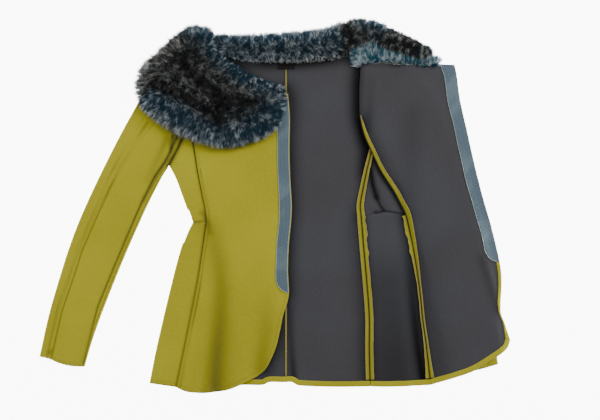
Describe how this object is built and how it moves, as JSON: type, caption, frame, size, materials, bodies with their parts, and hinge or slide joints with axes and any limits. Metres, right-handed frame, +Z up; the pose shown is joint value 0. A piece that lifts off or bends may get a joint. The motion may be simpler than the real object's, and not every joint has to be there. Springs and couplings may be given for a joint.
{
  "type": "faux fur collar jacket",
  "caption": "Fitted jacket laid flat, its front swung open to show the inner face, with princess seams, closure tapes along the front edges and a large shaggy faux fur collar",
  "frame": {"origin": "on the table, under the middle of the laid garment", "axes": "+Y runs from the hem to the collar, +X to the side of the open front, +Z up from the table"},
  "size_m": [0.9886, 0.7906, 0.0464],
  "materials": {
    "outer_cloth": "matt chartreuse knit face",
    "turned_cloth": "the same cloth, turned to the inner face",
    "inner_cloth": "matt dark grey knit face",
    "closure_tape": "woven steel blue closure tape",
    "dark_fur": "long pile, brown black with grey tips",
    "blue_fur": "long pile, dark blue green with pale tips",
    "label": "plain woven tab"
  },
  "bodies": {
    "root": {"back_left": "inner_cloth", "back_right": "inner_cloth", "side_left_lower": "inner_cloth", "side_left_upper": "inner_cloth", "front_left": "inner_cloth", "front_right": "outer_cloth", "side_right_lower": "outer_cloth", "side_right_upper": "outer_cloth", "sleeve_left_under": "outer_cloth", "sleeve_left_upper": "outer_cloth", "sleeve_right_under": "outer_cloth", "sleeve_right_upper": "outer_cloth", "back_seam_allowance_back": "turned_cloth", "back_seam_allowance_side_lower": "turned_cloth", "back_seam_allowance_side_upper": "turned_cloth", "front_seam_allowance_front": "turned_cloth", "front_seam_allowance_side": "turned_cloth", "centre_seam_allowance_left": "turned_cloth", "centre_seam_allowance_right": "turned_cloth", "hem_back_left": "turned_cloth", "hem_back_right": "turned_cloth", "hem_side_left": "turned_cloth", "hem_front_left": "turned_cloth", "front_edge_turn_left": "turned_cloth", "closure_tape_left": "closure_tape", "closure_tape_right": "closure_tape", "neck_label": "label", "fur_collar_right": "dark_fur", "fur_collar_back": "blue_fur", "fur_collar_left_fall": "dark_fur", "fur_collar_left_stand": "blue_fur"}
  },
  "joints": []
}
